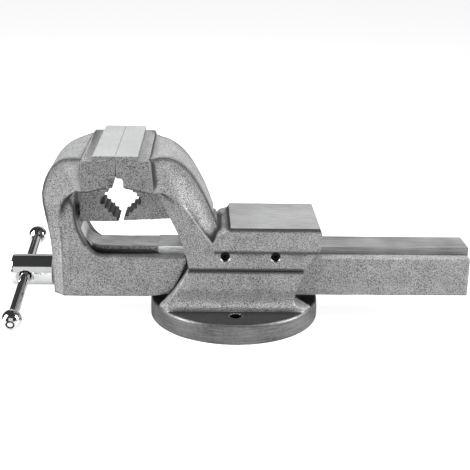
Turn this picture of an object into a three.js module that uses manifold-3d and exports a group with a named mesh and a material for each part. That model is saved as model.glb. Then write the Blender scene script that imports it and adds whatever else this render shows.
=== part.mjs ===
// Forged bench vise with a round foot, pipe jaws and a through-going slide bar.
// Millimetres, +Z up. The origin is the middle of the foot's underside. The slide bar lies along X
// with its tail at +X, the jaws meet at -X, and the tommy bar crosses the spindle at the -X end.
import * as THREE from 'three';
import { mergeVertices } from 'three/addons/utils/BufferGeometryUtils.js';
import Module from 'manifold-3d';

const wasm = await Module();
wasm.setup();

// Jaws
const jawWidth = 150;
const jawSeamX = -123.3;
const jawSeamGap = 0.4;
const jawTop = 196;
const jawStepDepth = 22.5; // raised, ground strip of each jaw, from the seam outward
const jawStepHeight = 4.9;
const fixedShoulderX = -90.1;
const movingShoulderX = -157.6;
const notchHalf = 7.4; // relief across the jaws, above the pipe grip
const notchTop = 173;

// Pipe jaws
const pipeJawWidth = 37.8;
const pipeJawTop = 151;
const pipeJawBottom = 111;
const pipeGripCentre = 134.5;
const pipeGripHalf = 21.4;
const pipeTeeth = 5; // steps on each flank of the V
const movingPipeJawX = -167; // the moving pipe jaw's outer end
const pipeJawGap = 1.6; // between the two pipe jaws when the vise is closed

// Slide bar and its guide rail
const slideHalf = 30.7;
const slideBottom = 32.3;
const slideTop = 75.8;
const slideTail = 255.1;
const slideWall = 10.5;
const slideRoof = 9.8;
const slideTailWall = 10;
const railHalf = 19.25;
const railTop = 84.4;
const railStart = -83.3;
const noseWebStep = 5.2; // the jaw's flank stands this far proud of the bar
const webRise = 0.7; // the flank's top, above the bar's
const noseInnerX = -176;

// Body and foot
const bodySideWall = 15.4;
const bodySeamZ = 65.5;
const bodyRoof = 113.7; // ground anvil face
const anvilStep = 1;
const anvilStartX = -6.2;
const anvilEndX = 88.1;
const footRadius = 92.6;
const footThickness = 22.2;
const footChamfer = 2;
const plinthStep = 8; // the plinth stands this far in front of the body's side
const mountCircle = 65.3;
const mountHoleRadius = 6.6;
const mountPocketRadius = 16;

// Spindle, nut and tommy bar
const spindleZ = 49;
const spindleRadius = 11;
const spindleHeadRadius = 17.2;
const spindleHeadEndX = -244.9;
const noseFaceX = -196.3;
const washerThickness = 1.9;
const spindleEndX = 172;
const washerRadius = 16.6;
const collarRadius = 16;
const collarLength = 10;
const collarPinRadius = 2.5;
const nutHalfLength = 30;
const nutRoofGap = 0.6;
const handleX = -229;
const handleRadius = 5.5;
const handleTilt = THREE.MathUtils.degToRad(10.4);
const handleFront = 101.1; // distance from the spindle's axis to the front ball's centre
const handleRear = 79.5;
const ballRadius = 10.7;
const ballFlatRadius = 4.6; // riveted flat on each ball's outer end
const ballWall = 1; // metal left round the end of the bar
const mouthFlare = 3.4; // the tommy bar's hole widens by this at the spindle head's surface
const mouthDepth = 3;
const mouthSunk = 0.9;

// Gib and fasteners
const gibThickness = 4.6;
const gibStartX = -44;
const gibEndX = 68;
const gibScrewXs = [-11.5, 42];
const gibScrewRadius = 4;
const gibScrewSunk = 4;
const gibScrewRise = 0.5; // from the bar's way up to the screws' holes
const gibScrewRim = 1.6; // chamfer round each hole
const gibScrewRimDepth = 1.4;
const boltRadius = 4;
const boltHeadRadius = 6.5;
const boltHeadHeight = 8;
const boltSunk = 1;
const bodyBoltXs = [-38, 58];
const bodyBoltGrip = 19; // thread length in the upper body
const nutBoltX = 20;
const nutBoltWall = 0.8; // between each nut bolt's tip and the spindle's bore
const nutBoltEdge = 1.6; // between the bolt and the nut's side
const pipeScrewRadius = 3;
const pipeScrewHeadRadius = 5;
const pipeScrewHeadHeight = 5.5;
const pipeScrewGrip = 18;
const pipeScrewY = 10;
const fixedPipeScrewX = -91;
const movingPipeScrewX = -156;
const pipeScrewSunk = 1;

// Fits
const slip = 0.4; // running clearance of sliding and turning pieces
const seat = 0.3; // gap between pieces that are screwed together

const bodyHalf = slideHalf + slip + bodySideWall;
const anvilHalf = bodyHalf + anvilStep;
const spindleHeadInnerX = noseFaceX - washerThickness - 2 * seat;
const webHalf = slideHalf + noseWebStep;
const ballGrip = Math.sqrt(ballRadius ** 2 - (handleRadius + seat) ** 2) - ballWall; // bar's end in the ball
const cavityHalf = slideHalf - slideWall;
const cavityRoof = slideTop - slideRoof;
const shoulderZ = jawTop - jawStepHeight;
const gibScrewZ = slideTop + slip + gibScrewRadius + seat + gibScrewRise;
const collarPinLength = 2 * (collarRadius - 1);
const boltY = slideHalf + slip + bodySideWall / 2;
const nutBoltY = cavityHalf - slip - boltRadius - nutBoltEdge;
const roundSteps = 28;
const fastenerSteps = 14;
const ballSteps = 20;
const largeSteps = 64;

const paint = { color: 0x8b8f90, roughness: 0.5, metalness: 0.55 };
const groundSteel = { color: 0xc9cbcc, roughness: 0.3, metalness: 0.95 };
const chrome = { color: 0xe4e6e8, roughness: 0.08, metalness: 1 };
const blackOxide = { color: 0x24262a, roughness: 0.5, metalness: 0.7 };
const bronze = { color: 0xa88a55, roughness: 0.4, metalness: 0.9 };

// Merges shared corners, so that a geometry becomes one closed skin.
function closedGeometry(geometry) {
  const bare = geometry.clone();
  bare.deleteAttribute('normal');
  bare.deleteAttribute('uv');
  const merged = mergeVertices(bare, 1e-4);
  const corners = Array.from(merged.index.array);
  const kept = [];
  for (let i = 0; i < corners.length; i += 3) {
    const [a, b, c] = corners.slice(i, i + 3);
    if (a !== b && b !== c && c !== a) kept.push(a, b, c);
  }
  merged.setIndex(kept);
  return merged;
}

function solidOf(geometry) {
  const skin = closedGeometry(geometry);
  const vertProperties = new Float32Array(skin.attributes.position.array);
  const triVerts = new Uint32Array(skin.index.array);
  return new wasm.Manifold(new wasm.Mesh({ numProp: 3, vertProperties, triVerts }));
}

function geometryOf(solid) {
  const mesh = solid.getMesh();
  const geometry = new THREE.BufferGeometry();
  geometry.setAttribute('position', new THREE.BufferAttribute(new Float32Array(mesh.vertProperties), 3));
  geometry.setIndex(new THREE.BufferAttribute(new Uint32Array(mesh.triVerts), 1));
  geometry.computeVertexNormals();
  return geometry;
}

const unitX = new THREE.Vector3(1, 0, 0);
const unitY = new THREE.Vector3(0, 1, 0);
const unitZ = new THREE.Vector3(0, 0, 1);

// An outline of [x, z] points carried along Y.
function slabAcross(points, yFrom, yTo) {
  const shape = new THREE.Shape(points.map(([x, z]) => new THREE.Vector2(x, z)));
  const geometry = new THREE.ExtrudeGeometry(shape, { depth: yTo - yFrom, bevelEnabled: false });
  geometry.applyMatrix4(new THREE.Matrix4().makeBasis(unitX, unitZ, unitY.clone().negate()));
  geometry.translate(0, yTo, 0);
  return solidOf(geometry);
}

// An outline of [y, z] points carried along X.
function slabAlong(points, xFrom, xTo) {
  const shape = new THREE.Shape(points.map(([y, z]) => new THREE.Vector2(y, z)));
  const geometry = new THREE.ExtrudeGeometry(shape, { depth: xTo - xFrom, bevelEnabled: false });
  geometry.applyMatrix4(new THREE.Matrix4().makeBasis(unitY, unitZ, unitX));
  geometry.translate(xFrom, 0, 0);
  return solidOf(geometry);
}

// An outline of [x, y] points carried up Z.
function slabUp(points, zFrom, zTo) {
  const shape = new THREE.Shape(points.map(([x, y]) => new THREE.Vector2(x, y)));
  const geometry = new THREE.ExtrudeGeometry(shape, { depth: zTo - zFrom, bevelEnabled: false });
  geometry.translate(0, 0, zFrom);
  return solidOf(geometry);
}

function block(xFrom, xTo, yFrom, yTo, zFrom, zTo) {
  const geometry = new THREE.BoxGeometry(xTo - xFrom, yTo - yFrom, zTo - zFrom);
  geometry.translate((xFrom + xTo) / 2, (yFrom + yTo) / 2, (zFrom + zTo) / 2);
  return solidOf(geometry);
}

// A plain round bar whose axis is X, Y or Z, centred on the two other coordinates.
function rod(axis, radius, from, to, centre, steps = roundSteps) {
  const geometry = new THREE.CylinderGeometry(radius, radius, to - from, steps);
  const middle = (from + to) / 2;
  if (axis === 'X') {
    geometry.rotateZ(-Math.PI / 2);
    geometry.translate(middle, centre[0], centre[1]);
  } else if (axis === 'Y') {
    geometry.translate(centre[0], middle, centre[1]);
  } else {
    geometry.rotateX(Math.PI / 2);
    geometry.translate(centre[0], centre[1], middle);
  }
  return solidOf(geometry);
}

// A turned piece: [radius, height] points from the bottom to the top, about Z.
function turned(profile, steps = roundSteps) {
  const geometry = new THREE.LatheGeometry(profile.map(([r, h]) => new THREE.Vector2(r, h)), steps);
  geometry.rotateX(Math.PI / 2);
  return solidOf(geometry);
}

function hexRod(acrossFlats, from, to) {
  const corner = acrossFlats / Math.sqrt(3);
  const geometry = new THREE.CylinderGeometry(corner, corner, to - from, 6);
  geometry.rotateX(Math.PI / 2);
  geometry.translate(0, 0, (from + to) / 2);
  return solidOf(geometry);
}

// Joins matching rings of corners into one closed skin, the first ring and the last one capped.
function loft(rings) {
  const count = rings[0].length;
  const positions = rings.flat(2);
  const index = [];
  for (let r = 0; r < rings.length - 1; r += 1) {
    for (let i = 0; i < count; i += 1) {
      const j = (i + 1) % count;
      const a = r * count + i;
      const b = r * count + j;
      index.push(a, b, b + count, a, b + count, a + count);
    }
  }
  const last = (rings.length - 1) * count;
  for (let i = 1; i < count - 1; i += 1) {
    index.push(0, i + 1, i);
    index.push(last, last + i, last + i + 1);
  }
  const geometry = new THREE.BufferGeometry();
  geometry.setAttribute('position', new THREE.Float32BufferAttribute(positions, 3));
  geometry.setIndex(index);
  return solidOf(geometry);
}

// A smooth run through [x, half width, z] points, sampled evenly between them.
function edgeRun(points, samples) {
  const curve = new THREE.CatmullRomCurve3(points.map(([x, y, z]) => new THREE.Vector3(x, y, z)));
  return Array.from({ length: samples + 1 }, (_, i) => curve.getPoint(i / samples));
}

// The arm of a jaw: a trapezium whose back edge and crease each follow their own curve.
function armLoft(back, crease, samples) {
  const backRun = edgeRun(back, samples);
  const creaseRun = edgeRun(crease, samples);
  return backRun.map((outer, i) => {
    const inner = creaseRun[i];
    return [
      [outer.x, -outer.y, outer.z],
      [inner.x, -inner.y, inner.z],
      [inner.x, inner.y, inner.z],
      [outer.x, outer.y, outer.z],
    ];
  });
}

// A smooth stretch of an [x, z] outline.
function bend(points, samples) {
  const curve = new THREE.SplineCurve(points.map(([x, z]) => new THREE.Vector2(x, z)));
  return curve.getPoints(samples).map((p) => [p.x, p.y]);
}

function join(solids) {
  return solids.reduce((whole, next) => whole.add(next));
}

// Serrated diamond between the pipe jaws: square steps down each flank.
function pipeGripOutline() {
  const run = pipeGripHalf / pipeTeeth;
  const corners = [];
  for (let quarter = 0; quarter < 4; quarter += 1) {
    for (let tooth = 0; tooth < pipeTeeth; tooth += 1) {
      const near = pipeGripHalf - tooth * run;
      const far = tooth * run;
      const steps = quarter % 2 === 0 ? [[near, far], [near, far + run]] : [[far, near], [far + run, near]];
      const signX = quarter === 1 || quarter === 2 ? -1 : 1;
      const signZ = quarter >= 2 ? -1 : 1;
      steps.forEach(([x, z]) => corners.push([jawSeamX + signX * x, pipeGripCentre + signZ * z]));
    }
  }
  return corners;
}

function pipeGripCut(half) {
  return slabAcross(pipeGripOutline(), -half, half);
}

// Relief slot above the pipe grip, straight through both jaws.
function notchCut() {
  const top = [[notchHalf, notchTop - 2], [notchHalf - 2, notchTop]];
  const outline = [
    [jawSeamX - notchHalf, pipeGripCentre],
    [jawSeamX + notchHalf, pipeGripCentre],
    ...top.map(([x, z]) => [jawSeamX + x, z]),
    ...top.reverse().map(([x, z]) => [jawSeamX - x, z]),
  ];
  return slabAcross(outline, -jawWidth, jawWidth);
}

function fixedHead() {
  const outline = [
    [jawSeamX + jawSeamGap / 2, jawTop],
    [jawSeamX + jawSeamGap / 2, 165],
    [-103.9, 160.2],
    [-90.9, 157.2],
    [-86, 159.5],
    [-88.1, shoulderZ - 3.9],
    [fixedShoulderX, shoulderZ],
    [jawSeamX + jawStepDepth, shoulderZ],
    [jawSeamX + jawStepDepth, jawTop],
  ];
  return slabAcross(outline, -jawWidth / 2, jawWidth / 2);
}

function movingHead() {
  const outline = [
    [jawSeamX - jawSeamGap / 2, jawTop],
    [jawSeamX - jawStepDepth, jawTop],
    [jawSeamX - jawStepDepth, shoulderZ],
    [movingShoulderX, shoulderZ],
    [-159, 176],
    [-159.7, 157.6],
    [-150.9, 157.7],
    [jawSeamX - jawSeamGap / 2, 165],
  ];
  return slabAcross(outline, -jawWidth / 2, jawWidth / 2);
}

// The slide bar with its rail, open underneath for the spindle and the nut.
function slideBar() {
  const section = [
    [-slideHalf, slideBottom],
    [slideHalf, slideBottom],
    [slideHalf, slideTop],
    [railHalf, slideTop],
    [railHalf, railTop],
    [-railHalf, railTop],
    [-railHalf, slideTop],
    [-slideHalf, slideTop],
  ];
  const start = block(noseInnerX - 5, railStart + 1, -slideHalf, slideHalf, slideBottom, slideTop);
  return slabAlong(section, railStart, slideTail).add(start);
}

function slideCavity() {
  return block(noseInnerX, slideTail - slideTailWall, -cavityHalf, cavityHalf, 0, cavityRoof);
}

// Flank of the moving jaw: a C whose foot ends in a rounded nose under the fixed jaw.
function movingWeb() {
  const outline = [
    ...bend([[-168.4, 152], [-178.5, 142.6], [-186, 130], [-187.6, 106.4], [-185.7, 88]], 10),
    [-185.6, slideBottom - 0.8],
    ...bend([[-98, slideBottom - 0.8], [-80, 33.5], [-67.3, 40.9], [-60, 54], [-53.3, 69.8]], 8),
    [-52.8, slideTop + webRise],
    ...bend([[-138, slideTop + webRise], [-149, 78.2], [-158, 86.2], [-166, 102.5], [-170.1, 119.8],
      [-171, 133], [-169.4, 145]], 12),
  ];
  return slabAcross(outline, -webHalf, webHalf);
}

// Raised floor of the throat, which turns up into the back of the C.
function throatRail() {
  const outline = [
    [railStart + 2, slideTop - 2],
    [railStart + 2, railTop - 0.4],
    ...bend([[-146, railTop - 0.4], [-154.4, 86.2], [-160.9, 91.4], [-165.4, 99], [-168.6, 109],
      [-169.8, 124]], 10),
    [-175, 124],
    [-175, slideTop - 2],
  ];
  return slabAcross(outline, -railHalf + slip, railHalf - slip);
}

function movingArm() {
  const back = [
    [-157, 67, 190.6], [-166.6, 58, 188.8], [-175.2, 51, 186.6], [-184, 44, 182.4], [-196.3, 38, 169.6],
    [-204, 35.5, 146], [-200.7, 33, 116.4], [-197, 30, 87], [noseFaceX, 27, 60], [noseFaceX, 25, slideBottom - 0.8],
  ];
  const crease = [
    [-156, webHalf + 29, 153.5], [-160.5, webHalf + 22, 153], [-164.5, webHalf + 16, 152.8],
    [-168.5, webHalf + 11, 150.8], [-178.5, webHalf + 6, 142.6], [-185.4, webHalf + 2.5, 130],
    [-186.6, webHalf - 0.4, 106.4], [-184.8, webHalf - 0.5, 85.4], [-184.6, webHalf - 0.5, 56],
    [-184.6, webHalf - 0.5, slideBottom - 0.8],
  ];
  return loft(armLoft(back, crease, 27).reverse());
}

function pipeJawSeatMoving() {
  return block(movingPipeJawX, jawSeamX - jawSeamGap / 2, -pipeJawWidth / 2, pipeJawWidth / 2,
    pipeJawTop + seat, 166);
}

function pipeJawSeatFixed() {
  return block(jawSeamX + jawSeamGap / 2, -87, -pipeJawWidth / 2, pipeJawWidth / 2, pipeJawTop + seat, 166);
}

// Way for a socket-head screw that stands on its head: shank bore and head sink in one turned cut.
function screwWay(x, y, shankRadius, headRadius, zFrom, zHead, zEnd) {
  const shank = shankRadius + seat;
  const head = headRadius + seat;
  const profile = [[0, zFrom], [head, zFrom], [head, zHead], [shank, zHead], [shank, zEnd], [0, zEnd]];
  return turned(profile, fastenerSteps).translate([x, y, 0]);
}

function pipeScrewHoles(x) {
  return join([-pipeScrewY, pipeScrewY].map((y) => screwWay(x, y, pipeScrewRadius, pipeScrewHeadRadius,
    pipeJawBottom - 1, pipeJawBottom + pipeScrewSunk + pipeScrewHeadHeight + seat,
    pipeJawTop + pipeScrewGrip + 1)));
}

function movingJaw() {
  const spindleHole = rod('X', spindleRadius + slip, -210, noseInnerX + 5, [0, spindleZ]);
  return join([movingHead(), movingWeb(), throatRail(), movingArm(), slideBar(), pipeJawSeatMoving()])
    .subtract(slideCavity())
    .subtract(spindleHole)
    .subtract(pipeGripCut(jawWidth))
    .subtract(notchCut())
    .subtract(pipeScrewHoles(movingPipeScrewX));
}

function fixedArm() {
  const back = [
    [-95, 69, 190.3], [-84, 57, 189.2], [-74.4, 48, 188.2], [-61.8, 40, 182.5],
    [-48, 33.5, 168.6], [-34, 29, 144.3], [-24.1, 23, 120.7], [-19, 22, 108],
  ];
  const crease = [
    [-95, bodyHalf + 21, 153.5], [-84, bodyHalf + 9, 152.4], [-76, bodyHalf + 4, 150.5],
    [-61, bodyHalf + 1, 139.5], [-50, bodyHalf - 1, 119.6], [-39, bodyHalf - 1.4, 102],
    [-31, bodyHalf - 1.6, 91], [-25, bodyHalf - 1.6, 84],
  ];
  return loft(armLoft(back, crease, 28));
}

// Side plates of the body and the arm's web, in one outline.
function fixedWeb() {
  const outline = [
    ...bend([[-83.2, 151.4], [-78.3, 139.5], [-69.8, 123], [-59.4, 100], [-52.2, 77.8],
      [-49.8, bodySeamZ]], 10),
    [71.5, bodySeamZ],
    [74.5, 68],
    [86.5, 86.5],
    [-18, 86.5],
    ...bend([[-20, 90], [-26.8, 97.4], [-35.5, 107.6], [-47, 124.6], [-60, 141.4], [-76, 151]], 11),
  ];
  return slabAcross(outline, -bodyHalf, bodyHalf);
}

// Anvil with its rounded rear end and the groove's front lip.
function anvil() {
  const outline = [
    [anvilEndX, bodyRoof],
    ...bend([[90.4, 108], [91, 99], [89.9, 91], [87, 86.2]], 5),
    [-27, 86.2],
    ...bend([[-25.4, 94], [-20.6, 103.2], [-17, 107.2], [-12.8, 108.5], [-8.6, 109.6],
      [anvilStartX - 0.6, 111.6]], 8),
    [anvilStartX, bodyRoof],
  ];
  return slabAcross(outline, -anvilHalf, anvilHalf);
}

// The way through the body for the slide bar, its rail and the gib.
function guideWay(zFloor) {
  const wide = slideHalf + slip;
  const narrow = railHalf + slip;
  const outline = [
    [-wide, zFloor],
    [wide, zFloor],
    [wide, slideTop + slip],
    [narrow, slideTop + slip],
    [narrow, railTop + slip],
    [-narrow - gibThickness - seat, railTop + slip],
    [-narrow - gibThickness - seat, slideTop + slip],
    [-wide, slideTop + slip],
  ];
  return slabAlong(outline, -footRadius, footRadius + 20);
}

function gibScrewHole(x) {
  const bore = gibScrewRadius + seat;
  const rim = bore + gibScrewRim;
  const profile = [[0, -footRadius], [rim, -footRadius], [rim, -bodyHalf],
    [bore, -bodyHalf + gibScrewRimDepth], [bore, -railHalf], [0, -railHalf]];
  const cut = new THREE.LatheGeometry(profile.map(([r, y]) => new THREE.Vector2(r, y)), ballSteps);
  cut.translate(x, 0, gibScrewZ);
  return solidOf(cut);
}

function bodyBoltPlaces() {
  return bodyBoltXs.flatMap((x) => [-boltY, boltY].map((y) => [x, y]));
}

function bodyBoltHole(x, y) {
  return screwWay(x, y, boltRadius, boltHeadRadius, -1, boltSunk + boltHeadHeight + seat,
    bodySeamZ + bodyBoltGrip + 1);
}

function fixedJaw() {
  const seatCut = block(-110, 110, -90, 90, 0, bodySeamZ + seat / 2);
  let body = join([fixedHead(), fixedArm(), fixedWeb(), anvil(), pipeJawSeatFixed()])
    .subtract(guideWay(0))
    .subtract(pipeGripCut(jawWidth))
    .subtract(notchCut())
    .subtract(seatCut)
    .subtract(pipeScrewHoles(fixedPipeScrewX));
  gibScrewXs.forEach((x) => {
    body = body.subtract(gibScrewHole(x));
  });
  bodyBoltPlaces().forEach(([x, y]) => {
    body = body.subtract(bodyBoltHole(x, y));
  });
  return body;
}

function pipeJawBlanks() {
  const half = pipeJawWidth / 2;
  const moving = [
    [jawSeamX - pipeJawGap / 2, pipeJawTop],
    [movingPipeJawX, pipeJawTop],
    [movingPipeJawX, pipeJawBottom],
    [jawSeamX - pipeJawGap / 2 - 2.4, pipeJawBottom],
    [jawSeamX - pipeJawGap / 2, pipeJawBottom + 2.4],
  ];
  const fixed = [
    [jawSeamX + pipeJawGap / 2, pipeJawTop],
    [jawSeamX + pipeJawGap / 2, pipeJawBottom + 3.4],
    [jawSeamX + pipeJawGap / 2 + 2.4, pipeJawBottom + 1],
    [-67.6, pipeJawBottom + 3.8],
    [-71.4, 123],
    [-80.2, 140],
    [-85.6, pipeJawTop],
  ];
  return { moving: slabAcross(moving, -half, half), fixed: slabAcross(fixed, -half, half) };
}

function pipeJaw(side, screwX) {
  return pipeJawBlanks()[side]
    .subtract(pipeGripCut(pipeJawWidth))
    .subtract(notchCut())
    .subtract(pipeScrewHoles(screwX));
}

// Foot disc with the lower body standing on it.
function base() {
  const disc = turned([
    [0, 0], [footRadius - 1, 0], [footRadius, 1], [footRadius, footThickness - footChamfer],
    [footRadius - footChamfer, footThickness], [0, footThickness],
  ], largeSteps);
  const side = slabAcross([
    [-footRadius, footThickness - 4],
    [footRadius, footThickness - 4],
    [footRadius, footThickness + 1.6],
    ...bend([[80, 24.4], [68, 27.2], [62.4, 32.5], [66, 44], [73.5, bodySeamZ - seat / 2]], 10),
    ...bend([[-49.8, bodySeamZ - seat / 2], [-58.5, 51.5], [-66.5, 39.5], [-74, 29.5], [-82, 25.4]], 10),
    [-footRadius, footThickness + 1.6],
  ], -footRadius, footRadius);
  const flare = [[-bodyHalf, bodySeamZ], [-bodyHalf - 0.6, 52], [-bodyHalf - 2, 40], [-bodyHalf - 5, 31.6],
    [-bodyHalf - plinthStep, 27]];
  const front = bend(flare, 8);
  const profile = [
    ...front,
    [-bodyHalf - plinthStep, footThickness - 4],
    [bodyHalf + plinthStep, footThickness - 4],
    ...front.map(([y, z]) => [-y, z]).reverse(),
  ];
  const rimLimit = rod('Z', footRadius - footChamfer, 0, bodySeamZ, [0, 0], largeSteps);
  let whole = disc.add(side.intersect(slabAlong(profile, -footRadius, footRadius)).intersect(rimLimit));
  whole = whole.subtract(block(-footRadius - 5, footRadius + 5, -slideHalf - slip, slideHalf + slip,
    slideBottom - seat, bodySeamZ + 1));
  [-1, 1].forEach((end) => {
    const pocket = [[mountCircle, -mountPocketRadius], [77, -34], [86, -45], [100, -45], [100, 45], [86, 45],
      [77, 34], [mountCircle, mountPocketRadius]];
    const fan = slabUp(pocket.map(([x, y]) => [end * x, y]), footThickness, slideBottom + 6);
    const round = rod('Z', mountPocketRadius, footThickness, slideBottom + 6, [end * mountCircle, 0]);
    whole = whole.subtract(fan.add(round));
  });
  [[0, -1], [0, 1], [-1, 0], [1, 0]].forEach(([x, y]) => {
    whole = whole.subtract(rod('Z', mountHoleRadius, -1, bodySeamZ, [x * mountCircle, y * mountCircle],
      ballSteps));
  });
  bodyBoltPlaces().forEach(([x, y]) => {
    whole = whole.subtract(bodyBoltHole(x, y));
  });
  nutBoltPlaces().forEach(([x, y]) => {
    whole = whole.subtract(nutBoltHole(x, y));
  });
  return whole;
}

// Top of the nut bolts, which reach up beside the spindle's bore.
function nutBoltTop() {
  const reach = spindleRadius + slip + nutBoltWall;
  return spindleZ - Math.sqrt(Math.max(0, reach ** 2 - (nutBoltY - boltRadius) ** 2));
}

function nutBoltPlaces() {
  return [[-nutBoltX, nutBoltY], [nutBoltX, -nutBoltY]];
}

function nutBoltHole(x, y) {
  return screwWay(x, y, boltRadius, boltHeadRadius, -1, boltSunk + boltHeadHeight + seat,
    nutBoltTop() + seat);
}

function spindleNut() {
  const blank = block(-nutHalfLength, nutHalfLength, -cavityHalf + slip, cavityHalf - slip,
    slideBottom, cavityRoof - nutRoofGap);
  let nut = blank.subtract(rod('X', spindleRadius + slip, -60, 60, [0, spindleZ]));
  nutBoltPlaces().forEach(([x, y]) => {
    nut = nut.subtract(nutBoltHole(x, y));
  });
  return nut;
}

// Socket-head screw standing on its head at the origin, shank up.
function socketScrew(shankRadius, headRadius, headHeight, length) {
  const blank = turned([
    [0, 0], [headRadius - 0.6, 0], [headRadius, 0.6], [headRadius, headHeight], [shankRadius, headHeight],
    [shankRadius, headHeight + length - 0.8], [shankRadius - 0.8, headHeight + length],
    [0, headHeight + length],
  ], fastenerSteps);
  return blank.subtract(hexRod(headRadius * 0.92, -1, headHeight * 0.6));
}

// Set screw with its hex socket at the bottom, cone point up.
function setScrew(length) {
  const blank = turned([
    [0, 0], [gibScrewRadius - 0.5, 0], [gibScrewRadius, 0.5], [gibScrewRadius, length - 1.6],
    [gibScrewRadius - 1.6, length], [0, length],
  ], fastenerSteps);
  return blank.subtract(hexRod(gibScrewRadius * 1.14, -1, 4));
}

// Spindle about Z, with the outer face of its head at zero.
function spindle() {
  const headLength = spindleHeadInnerX - spindleHeadEndX;
  const length = spindleEndX - spindleHeadEndX;
  const body = turned([
    [0, 0], [spindleHeadRadius - 2.2, 0], [spindleHeadRadius - 0.6, 0.7], [spindleHeadRadius, 2.4],
    [spindleHeadRadius, headLength - 1], [spindleHeadRadius - 1, headLength], [spindleRadius, headLength],
    [spindleRadius, length - 3], [spindleRadius - 2, length], [0, length],
  ]);
  const bore = new THREE.CylinderGeometry(handleRadius + slip, handleRadius + slip, 60, roundSteps);
  const mouth = new THREE.CylinderGeometry(handleRadius + mouthFlare, handleRadius + slip, mouthDepth,
    roundSteps);
  mouth.translate(0, spindleHeadRadius - mouthSunk, 0);
  const crossCuts = [bore, mouth, mouth.clone().rotateX(Math.PI)].map((cut) => {
    cut.rotateZ(handleTilt);
    cut.translate(0, 0, handleX - spindleHeadEndX);
    return solidOf(cut);
  });
  const pinHole = rod('Y', collarPinRadius + seat, -40, 40, [0, collarPinX() - spindleHeadEndX],
    fastenerSteps);
  return body.subtract(join(crossCuts)).subtract(pinHole);
}

function collarPinX() {
  return noseInnerX + seat + collarLength / 2;
}

function thrustWasher() {
  return turned([[spindleRadius + slip, 0], [washerRadius, 0], [washerRadius, washerThickness],
    [spindleRadius + slip, washerThickness], [spindleRadius + slip, 0]]);
}

function retainingCollar() {
  const ring = turned([[spindleRadius + seat, 0], [collarRadius - 1, 0], [collarRadius, 1],
    [collarRadius, collarLength], [spindleRadius + seat, collarLength], [spindleRadius + seat, 0]]);
  return ring.subtract(rod('Y', collarPinRadius + seat, -40, 40, [0, collarLength / 2], fastenerSteps));
}

function collarPin() {
  return turned([[0, 0], [collarPinRadius, 0], [collarPinRadius, collarPinLength], [0, collarPinLength]],
    fastenerSteps);
}

function tommyBar() {
  const length = handleFront + handleRear + 2 * ballGrip;
  return turned([[0, 0], [handleRadius - 0.8, 0], [handleRadius, 0.8], [handleRadius, length - 0.8],
    [handleRadius - 0.8, length], [0, length]]);
}

// Ball with a small riveted flat on its outer end and a blind bore for the bar, which points down.
function tommyBall() {
  const rise = Math.asin(ballFlatRadius / ballRadius);
  const arc = Array.from({ length: 11 }, (_, i) => {
    const angle = -Math.PI / 2 + ((Math.PI - rise) * i) / 10;
    return [ballRadius * Math.cos(angle), ballRadius * Math.sin(angle)];
  });
  arc[0][0] = 0;
  const blank = turned([...arc, [0, ballRadius * Math.cos(rise)]], ballSteps);
  return blank.subtract(rod('Z', handleRadius + seat, -ballRadius - 2, ballGrip + seat, [0, 0], ballSteps));
}

function frontGib() {
  const narrow = railHalf + slip;
  return block(gibStartX, gibEndX, -narrow - gibThickness, -narrow, slideTop + slip + seat,
    railTop + slip - seat);
}

function meshOf(name, solid, finish) {
  const mesh = new THREE.Mesh(geometryOf(solid), new THREE.MeshStandardMaterial(finish));
  mesh.name = name;
  return mesh;
}

function placed(mesh, x, y, z) {
  mesh.position.set(x, y, z);
  return mesh;
}

const vise = new THREE.Group();
vise.add(meshOf('base', base(), paint));
vise.add(meshOf('fixed_jaw', fixedJaw(), paint));
vise.add(meshOf('fixed_pipe_jaw', pipeJaw('fixed', fixedPipeScrewX), paint));
vise.add(meshOf('spindle_nut', spindleNut(), bronze));
vise.add(meshOf('front_gib', frontGib(), groundSteel));

const gibScrewLength = bodyHalf - gibScrewSunk - railHalf - slip - gibThickness - 2 * seat;
gibScrewXs.forEach((x, i) => {
  const screw = placed(meshOf(`gib_screw_${i + 1}`, setScrew(gibScrewLength), blackOxide),
    x, -bodyHalf + gibScrewSunk, gibScrewZ);
  screw.rotation.x = -Math.PI / 2;
  vise.add(screw);
});

const bodyBoltLength = bodySeamZ + bodyBoltGrip - boltSunk - boltHeadHeight;
bodyBoltPlaces().forEach(([x, y], i) => {
  const bolt = meshOf(`body_bolt_${i + 1}`, socketScrew(boltRadius, boltHeadRadius, boltHeadHeight,
    bodyBoltLength), blackOxide);
  vise.add(placed(bolt, x, y, boltSunk));
});

const nutBoltLength = nutBoltTop() - boltSunk - boltHeadHeight;
nutBoltPlaces().forEach(([x, y], i) => {
  const bolt = meshOf(`nut_bolt_${i + 1}`, socketScrew(boltRadius, boltHeadRadius, boltHeadHeight,
    nutBoltLength), blackOxide);
  vise.add(placed(bolt, x, y, boltSunk));
});

const slide = new THREE.Group();
slide.add(meshOf('moving_jaw', movingJaw(), paint));
slide.add(meshOf('moving_pipe_jaw', pipeJaw('moving', movingPipeScrewX), paint));
vise.add(slide);

const pipeScrewLength = pipeJawTop + pipeScrewGrip - pipeJawBottom - pipeScrewSunk - pipeScrewHeadHeight;
[
  { name: 'fixed_pipe_jaw_screw', x: fixedPipeScrewX, home: vise },
  { name: 'moving_pipe_jaw_screw', x: movingPipeScrewX, home: slide },
].forEach(({ name, x, home }) => {
  [-pipeScrewY, pipeScrewY].forEach((y, i) => {
    const screw = meshOf(`${name}_${i + 1}`, socketScrew(pipeScrewRadius, pipeScrewHeadRadius,
      pipeScrewHeadHeight, pipeScrewLength), blackOxide);
    home.add(placed(screw, x, y, pipeJawBottom + pipeScrewSunk));
  });
});

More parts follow.
